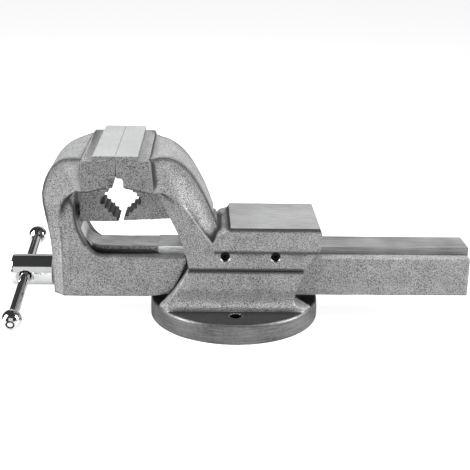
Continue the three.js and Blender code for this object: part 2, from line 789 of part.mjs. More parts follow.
// The spindle's own frame: Z along the screw, towards the slide bar's tail, and Y across the vise.
const screwFrame = new THREE.Group();
screwFrame.position.set(spindleHeadEndX, 0, spindleZ);
screwFrame.rotation.y = Math.PI / 2;
screwFrame.add(meshOf('spindle', spindle(), chrome));
screwFrame.add(placed(meshOf('thrust_washer', thrustWasher(), groundSteel),
  0, 0, spindleHeadInnerX + seat - spindleHeadEndX));
screwFrame.add(placed(meshOf('retaining_collar', retainingCollar(), groundSteel),
  0, 0, noseInnerX + seat - spindleHeadEndX));
const pin = placed(meshOf('collar_pin', collarPin(), groundSteel),
  0, -collarPinLength / 2, collarPinX() - spindleHeadEndX);
pin.rotation.x = -Math.PI / 2;
screwFrame.add(pin);
slide.add(screwFrame);

// The tommy bar's own frame: Z along the bar, from the front ball to the rear one.
const handleFrame = new THREE.Group();
handleFrame.position.set(0, 0, handleX - spindleHeadEndX);
handleFrame.quaternion.setFromUnitVectors(unitZ,
  new THREE.Vector3(-Math.sin(handleTilt), Math.cos(handleTilt), 0));
handleFrame.add(placed(meshOf('tommy_bar', tommyBar(), chrome), 0, 0, -handleFront - ballGrip));
handleFrame.add(placed(meshOf('tommy_ball_rear', tommyBall(), chrome), 0, 0, handleRear));
const frontBall = placed(meshOf('tommy_ball_front', tommyBall(), chrome), 0, 0, -handleFront);
frontBall.rotation.x = Math.PI;
handleFrame.add(frontBall);
screwFrame.add(handleFrame);

export default vise;
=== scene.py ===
# forged bench vise: forgings with rounded edges and ground faces, chromed spindle, studio light
import math
import bmesh
import bpy
import numpy as np
from mathutils import Matrix, Vector, noise
from mathutils.kdtree import KDTree


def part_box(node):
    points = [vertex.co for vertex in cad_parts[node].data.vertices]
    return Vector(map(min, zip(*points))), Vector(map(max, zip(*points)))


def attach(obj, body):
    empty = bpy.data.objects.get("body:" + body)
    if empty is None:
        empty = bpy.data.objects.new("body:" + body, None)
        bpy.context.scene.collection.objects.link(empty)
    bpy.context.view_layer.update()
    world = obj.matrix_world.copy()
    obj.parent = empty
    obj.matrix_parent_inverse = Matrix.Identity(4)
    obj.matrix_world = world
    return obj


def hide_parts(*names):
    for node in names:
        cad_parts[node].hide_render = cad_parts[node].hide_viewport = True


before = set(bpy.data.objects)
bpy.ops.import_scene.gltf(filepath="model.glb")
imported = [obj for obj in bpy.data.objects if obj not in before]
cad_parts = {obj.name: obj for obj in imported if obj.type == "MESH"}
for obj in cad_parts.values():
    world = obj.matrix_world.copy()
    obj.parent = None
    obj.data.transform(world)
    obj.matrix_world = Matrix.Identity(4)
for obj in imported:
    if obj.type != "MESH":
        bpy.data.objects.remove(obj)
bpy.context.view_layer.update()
mm = 0.001
hammerWaves = 38  # waves per metre left in the forged faces
scratchDepth = 0.0002  # metres, for the grinding lines


def newObject(name, mesh):
    piece = bpy.data.objects.new(name, mesh)
    bpy.context.scene.collection.objects.link(piece)
    return piece


def meshFromBmesh(name, bm):
    bmesh.ops.recalc_face_normals(bm, faces=bm.faces)
    mesh = bpy.data.meshes.new(name)
    bm.to_mesh(mesh)
    bm.free()
    return mesh


def copyOfNode(node, name):
    # a free copy of a CAD node's skin, with its split corners merged again
    bm = bmesh.new()
    bm.from_mesh(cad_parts[node].data)
    bmesh.ops.remove_doubles(bm, verts=bm.verts, dist=2e-6)
    return newObject(name, meshFromBmesh(name, bm))


def prism(name, outline, axis, start, end):
    # outline is (x, z) for axis Y, (y, z) for axis X and (x, y) for axis Z, all in mm
    bm = bmesh.new()

    def place(a, b, c):
        spot = {"X": (c, a, b), "Y": (a, c, b), "Z": (a, b, c)}[axis]
        return Vector(spot) * mm

    near = [bm.verts.new(place(a, b, start)) for a, b in outline]
    far = [bm.verts.new(place(a, b, end)) for a, b in outline]
    bm.faces.new(near)
    bm.faces.new(list(reversed(far)))
    for i in range(len(outline)):
        j = (i + 1) % len(outline)
        bm.faces.new((near[i], far[i], far[j], near[j]))
    return newObject(name, meshFromBmesh(name, bm))


def box(name, xs, ys, zs):
    corners = [(xs[0], ys[0]), (xs[1], ys[0]), (xs[1], ys[1]), (xs[0], ys[1])]
    return prism(name, corners, "Z", zs[0], zs[1])


def lathe(name, profile, origin, direction, steps=96):
    # profile is (radius, distance along the axis) in mm, from one end of the axis to the other
    bm = bmesh.new()
    rings = []
    for radius, along in profile:
        if radius < 1e-6:
            rings.append([bm.verts.new((0, 0, along * mm))])
        else:
            turn = [2 * math.pi * k / steps for k in range(steps)]
            rings.append([bm.verts.new((radius * mm * math.cos(t), radius * mm * math.sin(t), along * mm))
                          for t in turn])
    for a, b in zip(rings, rings[1:]):
        for k in range(steps):
            n = (k + 1) % steps
            if len(a) == 1 and len(b) > 1:
                bm.faces.new((a[0], b[k], b[n]))
            elif len(b) == 1 and len(a) > 1:
                bm.faces.new((a[k], a[n], b[0]))
            elif len(a) > 1:
                bm.faces.new((a[k], a[n], b[n], b[k]))
    turnTo = Vector((0, 0, 1)).rotation_difference(Vector(direction)).to_matrix().to_4x4()
    bm.transform(Matrix.Translation(Vector(origin) * mm) @ turnTo)
    return newObject(name, meshFromBmesh(name, bm))


def applyModifiers(piece):
    graph = bpy.context.evaluated_depsgraph_get()
    baked = bpy.data.meshes.new_from_object(piece.evaluated_get(graph))
    old = piece.data
    piece.modifiers.clear()
    piece.data = baked
    bpy.data.meshes.remove(old)


def combine(piece, tool, operation):
    step = piece.modifiers.new(operation.lower(), "BOOLEAN")
    step.operation = operation
    step.solver = "MANIFOLD"
    step.object = tool
    applyModifiers(piece)
    bpy.data.objects.remove(tool)


def softenForging(piece, node, voxel, rounds, unevenness):
    # remesh, round every edge a little and leave the slight waves that a hammer leaves
    step = piece.modifiers.new("remesh", "REMESH")
    step.mode = "VOXEL"
    step.voxel_size = voxel * mm
    applyModifiers(piece)
    step = piece.modifiers.new("smooth", "SMOOTH")
    step.factor = 0.5
    step.iterations = rounds
    applyModifiers(piece)
    mesh = piece.data
    count = len(mesh.vertices)
    spots = np.empty(count * 3)
    normals = np.empty(count * 3)
    mesh.vertices.foreach_get("co", spots)
    mesh.vertices.foreach_get("normal", normals)
    spots = spots.reshape(-1, 3)
    wave = np.array([noise.noise(Vector(p) * hammerWaves) for p in spots])
    spots += normals.reshape(-1, 3) * (wave * unevenness * mm)[:, None]
    low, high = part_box(node)
    spots = np.clip(spots, np.array(low), np.array(high))
    mesh.vertices.foreach_set("co", spots.ravel())
    mesh.update()


def faceFacts(mesh):
    count = len(mesh.polygons)
    centres = np.empty(count * 3)
    normals = np.empty(count * 3)
    mesh.polygons.foreach_get("center", centres)
    mesh.polygons.foreach_get("normal", normals)
    return centres.reshape(-1, 3) / mm, normals.reshape(-1, 3)


def giveFinish(piece, material, chosen=None):
    # the whole piece, or only the chosen faces, in one finish
    mesh = piece.data
    if chosen is None:
        mesh.materials.clear()
    names = [m.name for m in mesh.materials]
    if material.name not in names:
        mesh.materials.append(material)
        names.append(material.name)
    slots = np.zeros(len(mesh.polygons), dtype=np.int32)
    if chosen is not None:
        mesh.polygons.foreach_get("material_index", slots)
        slots[chosen] = names.index(material.name)
    mesh.polygons.foreach_set("material_index", slots)


def smoothRun(points, step=0.5):
    # a curve through the points, in steps of about half a millimetre
    p = np.array(points, dtype=float)
    p = np.vstack([2 * p[0] - p[1], p, 2 * p[-1] - p[-2]])
    run = []
    for i in range(1, len(p) - 2):
        steps = 1 + int(np.linalg.norm(p[i + 1] - p[i]) / step)
        for t in np.linspace(0, 1, steps, endpoint=False):
            a, b, c, d = p[i - 1:i + 3]
            run.append(0.5 * (2 * b + (c - a) * t + (2 * a - 5 * b + 4 * c - d) * t ** 2
                              + (3 * b - a - 3 * c + d) * t ** 3))
    run.append(p[-2])
    return np.array(run)


def keepLayer(mesh, name, values):
    # one value for each vertex, which the materials read by its name
    layer = mesh.attributes.new(name, "FLOAT", "POINT")
    layer.data.foreach_set("value", np.asarray(values, dtype=np.float32))


def markEdges(piece, coveRounds=45, coveShare=1.0):
    # "edge": how far each corner stands out of its neighbours, "cove": how deep it lies in a hollow,
    # which sets the painted shade there
    mesh = piece.data
    count = len(mesh.vertices)
    spots = np.empty(count * 3)
    normals = np.empty(count * 3)
    ends = np.empty(len(mesh.edges) * 2, dtype=np.int64)
    mesh.vertices.foreach_get("co", spots)
    mesh.vertices.foreach_get("normal", normals)
    mesh.edges.foreach_get("vertices", ends)
    spots = spots.reshape(-1, 3)
    normals = normals.reshape(-1, 3)
    a, b = ends.reshape(-1, 2).T
    near = np.concatenate([a, b])
    far = np.concatenate([b, a])
    total = np.maximum(np.bincount(near, minlength=count), 1)

    def average(values):
        return np.bincount(near, weights=values[far], minlength=count) / total

    step = spots[far] - spots[near]
    size = np.linalg.norm(step, axis=1) + 1e-9
    lean = np.bincount(near, weights=-(normals[near] * step).sum(axis=1) / size, minlength=count) / total
    for _ in range(2):  # spread each corner to its neighbours, so that the worn band has a width
        lean = 0.4 * lean + 0.6 * average(lean)
    keepLayer(mesh, "edge", lean)
    soft = spots.copy()
    for _ in range(coveRounds):
        soft = np.stack([average(soft[:, i]) for i in range(3)], axis=1)
    keepLayer(mesh, "cove", ((soft - spots) * normals).sum(axis=1) / mm * coveShare)


def bothSides(runs):
    # runs written for the +Y side, with their mirror images on the other
    return [([(x, side * y, z) for x, y, z in points], width, depth)
            for side in (-1, 1) for points, width, depth in runs]


def markLines(piece, runs):
    # "line": each run's depth along it, fading over its width, for painted shade along creases, coves and
    # seams between faces
    spots = np.empty(len(piece.data.vertices) * 3)
    piece.data.vertices.foreach_get("co", spots)
    spots = spots.reshape(-1, 3) / mm
    dark = np.zeros(len(spots))
    for points, width, depth in runs:
        run = smoothRun(points)
        low, high = run.min(axis=0) - 2 * width, run.max(axis=0) + 2 * width
        close = np.where(((spots > low) & (spots < high)).all(axis=1))[0]
        tree = KDTree(len(run))
        for number, spot in enumerate(run):
            tree.insert(Vector(spot), number)
        tree.balance()
        reach = np.array([tree.find(Vector(spots[i]))[2] for i in close])
        fade = np.clip(1.5 - reach / width, 0, 1)
        dark[close] = np.maximum(dark[close], depth * fade * fade * (3 - 2 * fade))
    keepLayer(piece.data, "line", dark)


def finishShape(piece, sharpAngle=32):
    mesh = piece.data
    mesh.polygons.foreach_set("use_smooth", [True] * len(mesh.polygons))
    mesh.set_sharp_from_angle(angle=math.radians(sharpAngle))
    mesh.update()


def newGroup(name, inputs, outputs):
    group = bpy.data.node_groups.new(name, "ShaderNodeTree")
    for label, kind, value in inputs:
        socket = group.interface.new_socket(label, in_out="INPUT", socket_type=kind)
        if value is not None:
            socket.default_value = value
    for label, kind in outputs:
        group.interface.new_socket(label, in_out="OUTPUT", socket_type=kind)
    return group, group.nodes.new("NodeGroupInput"), group.nodes.new("NodeGroupOutput")


def addNode(tree, kind, **settings):
    made = tree.nodes.new(kind)
    for key, value in settings.items():
        if key in made.inputs:
            made.inputs[key].default_value = value
        else:
            setattr(made, key, value)
    return made


def mathNode(tree, operation, a, b, clamp=False):
    made = tree.nodes.new("ShaderNodeMath")
    made.operation = operation
    made.use_clamp = clamp
    for i, value in enumerate((a, b)):
        if isinstance(value, (int, float)):
            made.inputs[i].default_value = value
        else:
            tree.links.new(value, made.inputs[i])
    return made.outputs[0]


def rangeNode(tree, value, fromLow, fromHigh, toLow, toHigh):
    made = tree.nodes.new("ShaderNodeMapRange")
    tree.links.new(value, made.inputs["Value"])
    for key, number in (("From Min", fromLow), ("From Max", fromHigh), ("To Min", toLow),
                        ("To Max", toHigh)):
        made.inputs[key].default_value = number
    return made.outputs[0]


def mixColour(tree, factor, a, b):
    made = tree.nodes.new("ShaderNodeMix")
    made.data_type = "RGBA"
    made.clamp_factor = True
    for socket, value in ((made.inputs[0], factor), (made.inputs[6], a), (made.inputs[7], b)):
        if isinstance(value, (int, float, tuple)):
            socket.default_value = value
        else:
            tree.links.new(value, socket)
    return made.outputs[2]


def hammertoneGroup():
    # pebbled enamel: little cells about a millimetre across, pale on top and dark between
    group, into, out = newGroup("hammertoneGrain", [("Cell size", "NodeSocketFloat", 900.0),
                                                   ("Contrast", "NodeSocketFloat", 1.0)],
                                [("Height", "NodeSocketFloat"), ("Mottle", "NodeSocketFloat")])
    place = group.nodes.new("ShaderNodeTexCoord")
    cells = addNode(group, "ShaderNodeTexVoronoi", feature="SMOOTH_F1", Smoothness=0.5, Randomness=1.0)
    fine = addNode(group, "ShaderNodeTexNoise", Detail=2.0, Roughness=0.6)
    broad = addNode(group, "ShaderNodeTexNoise", Scale=70.0, Detail=2.0, Roughness=0.5)
    for texture in (cells, fine, broad):
        group.links.new(place.outputs["Object"], texture.inputs["Vector"])
    group.links.new(into.outputs["Cell size"], cells.inputs["Scale"])
    group.links.new(mathNode(group, "MULTIPLY", into.outputs["Cell size"], 1.1), fine.inputs["Scale"])
    pebbles = rangeNode(group, cells.outputs["Distance"], 0.15, 0.75, 1.0, 0.0)
    both = mathNode(group, "ADD", mathNode(group, "MULTIPLY", pebbles, 0.5),
                    mathNode(group, "MULTIPLY", fine.outputs["Fac"], 0.5))
    group.links.new(both, out.inputs["Height"])
    drift = mathNode(group, "MULTIPLY", mathNode(group, "SUBTRACT", broad.outputs["Fac"], 0.5), 0.35)
    offset = mathNode(group, "MULTIPLY", mathNode(group, "SUBTRACT", both, 0.5), into.outputs["Contrast"])
    group.links.new(mathNode(group, "ADD", mathNode(group, "ADD", offset, drift), 0.5, clamp=True),
                    out.inputs["Mottle"])
    return group


def edgeWearGroup():
    # 1 on edges that stand out, broken up so that the wear is uneven, and 1 in the hollows and sharp
    # creases, where shade is painted; the third output carries painted shade along marked runs
    inputs = [("Start", "NodeSocketFloat", 0.05), ("Full", "NodeSocketFloat", 0.2),
              ("Break up", "NodeSocketFloat", 0.5), ("Cove depth", "NodeSocketFloat", 1.2)]
    outputs = [("Mask", "NodeSocketFloat"), ("Cavity", "NodeSocketFloat"), ("Seam", "NodeSocketFloat")]
    group, into, out = newGroup("edgeWear", inputs, outputs)
    edge = addNode(group, "ShaderNodeAttribute", attribute_name="edge")
    cove = addNode(group, "ShaderNodeAttribute", attribute_name="cove")
    line = addNode(group, "ShaderNodeAttribute", attribute_name="line")
    place = group.nodes.new("ShaderNodeTexCoord")
    patches = addNode(group, "ShaderNodeTexNoise", Scale=140.0, Detail=3.0, Roughness=0.6)
    group.links.new(place.outputs["Object"], patches.inputs["Vector"])
    scaled = group.nodes.new("ShaderNodeMapRange")
    group.links.new(edge.outputs["Fac"], scaled.inputs["Value"])
    group.links.new(into.outputs["Start"], scaled.inputs["From Min"])
    group.links.new(into.outputs["Full"], scaled.inputs["From Max"])
    lifted = rangeNode(group, patches.outputs["Fac"], 0.35, 0.6, 0.0, 1.0)
    loss = mathNode(group, "MULTIPLY", mathNode(group, "SUBTRACT", 1.0, lifted), into.outputs["Break up"])
    group.links.new(mathNode(group, "SUBTRACT", scaled.outputs[0], loss, clamp=True), out.inputs["Mask"])
    hollow = mathNode(group, "DIVIDE", cove.outputs["Fac"], into.outputs["Cove depth"])
    sharp = rangeNode(group, edge.outputs["Fac"], -0.03, -0.25, 0.0, 0.7)
    group.links.new(mathNode(group, "ADD", mathNode(group, "MAXIMUM", hollow, 0.0), sharp, clamp=True),
                    out.inputs["Cavity"])
    group.links.new(line.outputs["Fac"], out.inputs["Seam"])
    return group


def grindingGroup():
    # fine parallel lines left by the grinding wheel, along the chosen stretch
    group, into, out = newGroup("grindingLines", [("Stretch", "NodeSocketVector", (1.0, 1.0, 1.0))],
                                [("Height", "NodeSocketFloat"), ("Streak", "NodeSocketFloat")])
    place = group.nodes.new("ShaderNodeTexCoord")
    scale = group.nodes.new("ShaderNodeVectorMath")
    scale.operation = "MULTIPLY"
    group.links.new(place.outputs["Object"], scale.inputs[0])
    group.links.new(into.outputs["Stretch"], scale.inputs[1])
    lines = addNode(group, "ShaderNodeTexNoise", Scale=1.0, Detail=3.0, Roughness=0.65)
    cloud = addNode(group, "ShaderNodeTexNoise", Scale=22.0, Detail=2.0, Roughness=0.5)
    group.links.new(scale.outputs[0], lines.inputs["Vector"])
    group.links.new(place.outputs["Object"], cloud.inputs["Vector"])
    group.links.new(lines.outputs["Fac"], out.inputs["Height"])
    both = mathNode(group, "ADD", mathNode(group, "MULTIPLY", lines.outputs["Fac"], 0.65),
                    mathNode(group, "MULTIPLY", cloud.outputs["Fac"], 0.35))
    group.links.new(rangeNode(group, both, 0.36, 0.64, 0.0, 1.0), out.inputs["Streak"])
    return group


hammertoneGrain = hammertoneGroup()
edgeWear = edgeWearGroup()
grindingLines = grindingGroup()
print("shader groups ready")


def newMaterial(name, **values):
    material = bpy.data.materials.new(name)
    material.use_nodes = True
    tree = material.node_tree
    shader = tree.nodes["Principled BSDF"]
    for key, value in values.items():
        shader.inputs[key.replace("_", " ")].default_value = value
    return material, tree, shader


def placeGroup(tree, group, **values):
    made = tree.nodes.new("ShaderNodeGroup")
    made.node_tree = group
    for key, value in values.items():
        made.inputs[key.replace("_", " ")].default_value = value
    return made


def bumpInto(tree, shader, height, strength, distance):
    bump = addNode(tree, "ShaderNodeBump", Strength=strength, Distance=distance)
    tree.links.new(height, bump.inputs["Height"])
    tree.links.new(bump.outputs["Normal"], shader.inputs["Normal"])


def enamel(name, look):
    # silver-grey hammertone enamel, rubbed bright along its edges, with painted shade in its hollows,
    # creases and coves
    material, tree, shader = newMaterial(name, Metallic=look["metal"])
    grain = placeGroup(tree, hammertoneGrain, Cell_size=look["cells"], Contrast=look["contrast"])
    wear = placeGroup(tree, edgeWear, Start=look["wearStart"], Full=look["wearFull"],
                      Break_up=look["wearBreak"], Cove_depth=look["coveDepth"])
    tone = grain.outputs["Mottle"]
    if "streaks" in look:
        lines = placeGroup(tree, grindingLines, Stretch=look["streaks"])
        tone = mathNode(tree, "ADD", mathNode(tree, "MULTIPLY", tone, 0.4),
                        mathNode(tree, "MULTIPLY", lines.outputs["Streak"], 0.6))
    colour = mixColour(tree, tone, look["dark"], look["light"])
    # painted shade: hollows and sharp creases darkened towards a near-black grey
    colour = mixColour(tree, mathNode(tree, "MULTIPLY", wear.outputs["Cavity"], look["cavityShade"]), colour,
                       look["paintedShade"])
    colour = mixColour(tree, mathNode(tree, "MULTIPLY", wear.outputs["Mask"], look["wear"]), colour,
                       look["bare"])
    # painted shade along the marked creases, coves and seams
    colour = mixColour(tree, mathNode(tree, "MULTIPLY", wear.outputs["Seam"], look["seam"]), colour,
                       look["paintedShade"])
    tree.links.new(colour, shader.inputs["Base Color"])
    tree.links.new(rangeNode(tree, tone, 0.0, 1.0, look["roughDark"], look["roughLight"]),
                   shader.inputs["Roughness"])
    bumpInto(tree, shader, grain.outputs["Height"], look["bump"], look["bumpDepth"])
    return material


def ground(name, look):
    # bare steel with grinding lines
    material, tree, shader = newMaterial(name, Metallic=look["metal"])
    lines = placeGroup(tree, grindingLines, Stretch=look["stretch"])
    colour = mixColour(tree, lines.outputs["Streak"], look["dark"], look["light"])
    tree.links.new(colour, shader.inputs["Base Color"])
    rough = rangeNode(tree, lines.outputs["Streak"], 0.0, 1.0, look["roughHigh"], look["roughLow"])
    tree.links.new(rough, shader.inputs["Roughness"])
    bumpInto(tree, shader, lines.outputs["Height"], look["bump"], scratchDepth)
    return material


def grey(value):
    # steel grey, a touch cooler than neutral
    return (value, value * 1.005, value * 1.01, 1.0)


# its near-black grey and its cavity and seam strengths are painted shade for hollows and creases
bodyEnamel = enamel("hammertone enamel", {
    "cells": 1000.0, "contrast": 1.75, "metal": 0.3, "dark": grey(0.062), "light": grey(0.41),
    "paintedShade": grey(0.012), "bare": grey(0.75), "wearStart": 0.12, "wearFull": 0.36, "wearBreak": 0.7,
    "wear": 0.8, "cavityShade": 0.9, "coveDepth": 0.8, "seam": 0.9, "roughDark": 0.50, "roughLight": 0.34,
    "bump": 0.7, "bumpDepth": 0.0006})

# the foot's enamel is smoother, and rubbed through at its edges, with painted shade in its hollows and
# creases
footWear = {"bare": grey(0.85), "wearStart": 0.08, "wearFull": 0.25, "wear": 0.95, "coveDepth": 2.5,
            "seam": 0.9, "contrast": 0.8, "bumpDepth": 0.0004}
rimEnamel = enamel("smooth rim enamel", {
    **footWear, "cells": 300.0, "streaks": (35.0, 35.0, 900.0), "metal": 0.7, "dark": grey(0.04),
    "light": grey(0.20), "paintedShade": grey(0.02), "wearBreak": 0.35, "cavityShade": 0.5, "roughDark": 0.42,
    "roughLight": 0.34, "bump": 0.12})
# the foot's top: smoother enamel, painted near black to stand in for the shadow under the body and slide
shadowDiscEnamel = enamel("foot top enamel painted as shadow", {
    **footWear, "cells": 500.0, "metal": 0.5, "dark": grey(0.010), "light": grey(0.040),
    "paintedShade": grey(0.006), "wearBreak": 0.3, "cavityShade": 0.6, "roughDark": 0.38, "roughLight": 0.28,
    "bump": 0.10})

jawSteel = ground("ground jaw steel", {
    "stretch": (2200.0, 60.0, 300.0), "metal": 0.45, "dark": grey(0.27), "light": grey(0.34),
    "roughHigh": 0.46, "roughLow": 0.36, "bump": 0.10})
anvilSteel = ground("ground anvil steel", {
    "stretch": (60.0, 900.0, 300.0), "metal": 0.45, "dark": grey(0.17), "light": grey(0.30),
    "roughHigh": 0.48, "roughLow": 0.36, "bump": 0.10})
# the throat rail's rough finish, painted much lighter to stand in for light that the heads' shade keeps
# off
litThroatSteel = ground("rail steel with painted light", {
    "stretch": (60.0, 500.0, 500.0), "metal": 0.85, "dark": grey(0.45), "light": grey(0.92),
    "roughHigh": 0.45, "roughLow": 0.30, "bump": 0.5})
railSteel = ground("drawn rail steel", {
    "stretch": (14.0, 1300.0, 1300.0), "metal": 0.5, "dark": grey(0.08), "light": grey(0.28),
    "roughHigh": 0.42, "roughLow": 0.28, "bump": 0.10})
bareSteel = ground("turned steel", {
    "stretch": (400.0, 400.0, 1200.0), "metal": 1.0, "dark": grey(0.15), "light": grey(0.28),
    "roughHigh": 0.4, "roughLow": 0.25, "bump": 0.1})
bronze = ground("cast bronze", {
    "stretch": (300.0, 300.0, 300.0), "metal": 1.0, "dark": (0.34, 0.22, 0.09, 1),
    "light": (0.52, 0.36, 0.17, 1), "roughHigh": 0.5, "roughLow": 0.35, "bump": 0.15})
blackOxide = ground("black oxide", {
    "stretch": (500.0, 500.0, 900.0), "metal": 1.0, "dark": grey(0.010), "light": grey(0.025),
    "roughHigh": 0.55, "roughLow": 0.4, "bump": 0.1})
chromePlate = ground("chrome plate", {
    "stretch": (90.0, 90.0, 90.0), "metal": 1.0, "dark": grey(0.62), "light": grey(0.70),
    "roughHigh": 0.10, "roughLow": 0.06, "bump": 0.01})
print("materials ready")


# the two heads share one outline, and the forgings one way of softening; all in mm
head = {"width": 150, "top": 196, "shoulder": 191.1, "strip": 22.5, "seam": -123.3, "gap": 0.4,
        "fixedShoulder": -90.1, "movingShoulder": -157.6}
forging = {"voxel": 1.1, "rounds": 4, "unevenness": 0.35}


def buildMovingJaw():
    slab = {"top": 75.8, "rail": 19.25, "railTop": 84.4, "railStart": -83.3, "tail": 255.1}
    piece = copyOfNode("moving_jaw", "movingJawForging")
    low = head["movingShoulder"]
    seam = head["seam"] - head["gap"] / 2
    half = head["width"] / 2
    combine(piece, box("stock", (low, seam + 4), (-half, half), (180, 201)), "UNION")
    combine(piece, box("railCut", (slab["railStart"], 300), (-40, 40), (slab["top"], 120)), "DIFFERENCE")
    softenForging(piece, "moving_jaw", forging["voxel"], forging["rounds"], forging["unevenness"])
    step = seam - head["strip"] + head["gap"] / 2
    above = [(-200, head["shoulder"]), (step, head["shoulder"]), (step, head["top"]), (-60, head["top"]),
             (-60, 260), (-200, 260)]
    combine(piece, prism("topCut", above, "Y", -120, 120), "DIFFERENCE")
    combine(piece, box("seamCut", (seam, seam + 30), (-120, 120), (100, 240)), "DIFFERENCE")
    giveFinish(piece, bodyEnamel)
    centres, normals = faceFacts(piece.data)
    giveFinish(piece, jawSteel, (normals[:, 2] > 0.99) & (centres[:, 2] > head["top"] - 0.5))
    # the throat rail's top, in steel painted lighter as light the heads' shade keeps off
    giveFinish(piece, litThroatSteel, (normals[:, 2] > 0.3) & (np.abs(centres[:, 1]) < slab["rail"])
               & (centres[:, 2] > slab["railTop"] - 2.5) & (centres[:, 2] < 120) & (centres[:, 0] > -171))
    stepWall = ((normals[:, 0] < -0.99) & (np.abs(centres[:, 0] - step) < 0.1)
                & (centres[:, 2] > head["shoulder"]))
    giveFinish(piece, jawSteel, stepWall)
    giveFinish(piece, jawSteel, (normals[:, 0] > 0.99) & (np.abs(centres[:, 0] - seam) < 0.1))
    markEdges(piece)
    # the edge between the arm's flank and its back, from the head's shoulder down to the nose, darkened
    # with painted shade like the coves and creases below
    back = [(-157, 67, 190.6), (-166.6, 58, 188.8), (-175.2, 51, 186.6), (-184, 44, 182.4),
            (-196.3, 38, 169.6), (-204, 35.5, 146), (-200.7, 33, 116.4), (-197, 30, 87),
            (-196.3, 27, 60), (-196.3, 25, 33)]
    runs = bothSides([
        (back[:7], 2.9, 1.0), (back[:5], 8.0, 0.4), (back[6:], 1.8, 0.5),
        ([(-156, 75, 176), (-128, 75, 176)], 24.0, 0.3),  # the head's end, a shade darker
        ([(-158.3, 66, 188), (-159.4, 63.6, 176), (-159.6, 62, 165), (-157.5, 58, 158)],
         2.4, 0.8),  # painted shade in the cove between the head and the arm
        ([(-158, 74.8, 158), (-150, 74.8, 158.2), (-142, 74.8, 160.3), (-134, 74.8, 162.2)],
         2.0, 0.95),  # painted shade along the head's lower edge
        ([(-177, 36, 142), (-171.5, 35.3, 130), (-170.4, 35.3, 119), (-168.3, 35.3, 109),
          (-165, 35.3, 100), (-160.4, 35.3, 90)], 1.8, 0.9),  # painted shade along the throat's edge
        ([(-184.8, 36, 110), (-184.6, 36, 60), (-184.6, 36, 34)], 0.8, 0.5),  # painted shade in the creases down the nose
        ([(-177, 36.2, 84), (-176.4, 36.2, 34)], 0.7, 0.35)])
    # painted shade where the rail rises from the web, on the side that shows
    runs.append(([(slab["railStart"], -20, 76.6), (-120, -20, 76.6), (-140, -20, 77), (-154, -20, 82),
                  (-163, -20, 93), (-168, -20, 108), (-170, -20, 124)], 2.2, 0.5))
    markLines(piece, runs)
    finishShape(piece)
    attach(piece, "slide")
    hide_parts("moving_jaw")

    corner = 0.5
    r, t = slab["rail"], slab["railTop"]
    across = [(-r, slab["top"] - 0.4), (r, slab["top"] - 0.4), (r, t - corner), (r - corner, t),
              (-r + corner, t), (-r, t - corner)]
    finishChange = -45  # dark steel before this and bright behind it, chosen with the jaws closed
    # the front stretch in the throat takes the steel with painted light
    for name, start, end, finish in (("guideRailFront", slab["railStart"], finishChange, litThroatSteel),
                                     ("guideRail", finishChange, slab["tail"] - 0.3, railSteel)):
        rail = prism(name, across, "X", start, end)
        giveFinish(rail, finish)
        markEdges(rail)
        finishShape(rail, 20)
        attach(rail, "slide")


